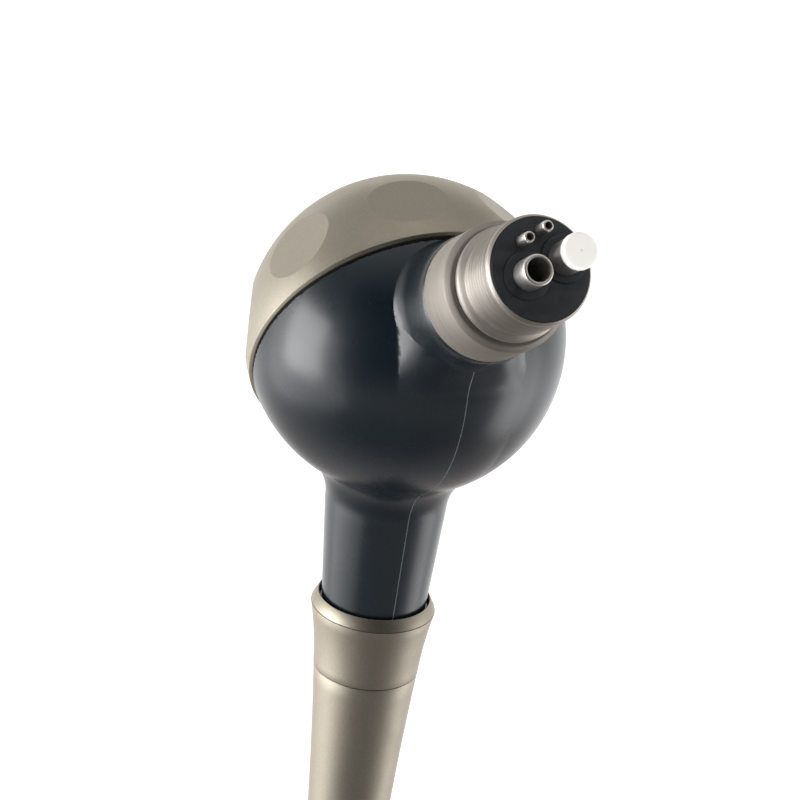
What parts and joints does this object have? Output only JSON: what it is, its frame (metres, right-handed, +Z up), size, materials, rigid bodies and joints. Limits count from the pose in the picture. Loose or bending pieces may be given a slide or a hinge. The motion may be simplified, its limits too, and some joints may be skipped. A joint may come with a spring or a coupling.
{
  "type": "dental air-polishing handpiece",
  "caption": "Dental powder-jet handpiece: ball-shaped powder chamber with screw cap, threaded hose connector, quick-release collar and a slim handpiece ending in a bent double nozzle.",
  "frame": {"origin": "centre of the ball-shaped chamber, which is also the centre of its spherical underside", "axes": "+Z up along the handpiece axis from nozzle to ball; -Y on the side of the hose connector; +Y on the side of the cap; +X is the mirror normal, the shortest way across"},
  "size_m": [0.0392, 0.0572, 0.2013],
  "materials": {
    "navy_plastic": "smooth moulded, semi-gloss",
    "champagne_metal": "fine satin, champagne",
    "satin_steel": "satin turned",
    "polished_steel": "polished turned",
    "hard_steel": "ground",
    "black_rubber": "matte moulded",
    "white_plastic": "matte",
    "grey_plastic": "matte"
  },
  "bodies": {
    "housing": {"left_shell": "navy_plastic", "right_shell": "navy_plastic", "powder_chamber": "satin_steel", "powder_tube": "polished_steel", "air_jet": "polished_steel", "rim_seal": "black_rubber", "water_tube": "polished_steel", "connector_band": "satin_steel", "coupling_socket": "satin_steel", "sleeve_clip": "hard_steel", "sleeve_spring": "hard_steel"},
    "hose_connector": {"thread_body": "polished_steel", "face_gasket": "black_rubber", "drive_air_tube": "polished_steel", "exhaust_tube": "polished_steel", "water_inlet_tube": "polished_steel", "signal_air_tube": "polished_steel", "exhaust_plug": "white_plastic", "swivel_seals": "black_rubber", "swivel_clip": "hard_steel"},
    "cap_seal": {"cap_gasket": "black_rubber"},
    "cap": {"cap_shell": "champagne_metal", "cap_liner": "grey_plastic"},
    "release_sleeve": {"release_sleeve": "champagne_metal", "collar_ring": "champagne_metal"},
    "lock_ball_1": {"lock_ball_1": "hard_steel"},
    "lock_ball_2": {"lock_ball_2": "hard_steel"},
    "lock_ball_3": {"lock_ball_3": "hard_steel"},
    "nozzle_handpiece": {"rear_plug": "satin_steel", "plug_seals": "black_rubber", "barrel": "champagne_metal", "nose_cone": "champagne_metal", "water_nozzle": "polished_steel", "powder_nozzle": "polished_steel", "nozzle_tip": "polished_steel", "water_line": "polished_steel"}
  },
  "joints": [
    {"name": "connector_swivel", "type": "hinge", "parent": "housing", "child": "hose_connector", "pos_m": [0, 0, 0], "axis": [0, -0.8348, 0.5505], "continuous": true},
    {"name": "cap_lift", "type": "slide", "parent": "housing", "child": "cap_seal", "axis": [0, 0.887, 0.4617], "range_m": [0, 0.012]},
    {"name": "cap_turn", "type": "hinge", "parent": "cap_seal", "child": "cap", "pos_m": [0, 0, 0], "axis": [0, 0.887, 0.4617], "range_deg": [0, 720]},
    {"name": "sleeve_slide", "type": "slide", "parent": "housing", "child": "release_sleeve", "axis": [0, 0, 1], "range_m": [0, 0.002], "stiffness_N_per_m": 1200, "springref_m": -0.003, "deforming": ["sleeve_spring"]},
    {"name": "nozzle_turn", "type": "hinge", "parent": "housing", "child": "nozzle_handpiece", "pos_m": [0, 0, 0], "axis": [0, 0, 1], "continuous": true},
    {"name": "lock_ball_1_slide", "type": "slide", "parent": "housing", "child": "lock_ball_1", "axis": [0, 1, 0], "range_m": [0, 0.00045001]},
    {"name": "lock_ball_2_slide", "type": "slide", "parent": "housing", "child": "lock_ball_2", "axis": [-0.866, -0.5, 0], "range_m": [0, 0.00045001]},
    {"name": "lock_ball_3_slide", "type": "slide", "parent": "housing", "child": "lock_ball_3", "axis": [0.866, -0.5, 0], "range_m": [0, 0.00045001]}
  ],
  "couplings": [
    {"joint": "cap_lift", "follows": "cap_turn", "m_per_rad": 0.00095493},
    {"joint": "lock_ball_1_slide", "follows": "sleeve_slide", "ratio": 0.225},
    {"joint": "lock_ball_2_slide", "follows": "sleeve_slide", "ratio": 0.225},
    {"joint": "lock_ball_3_slide", "follows": "sleeve_slide", "ratio": 0.225}
  ]
}
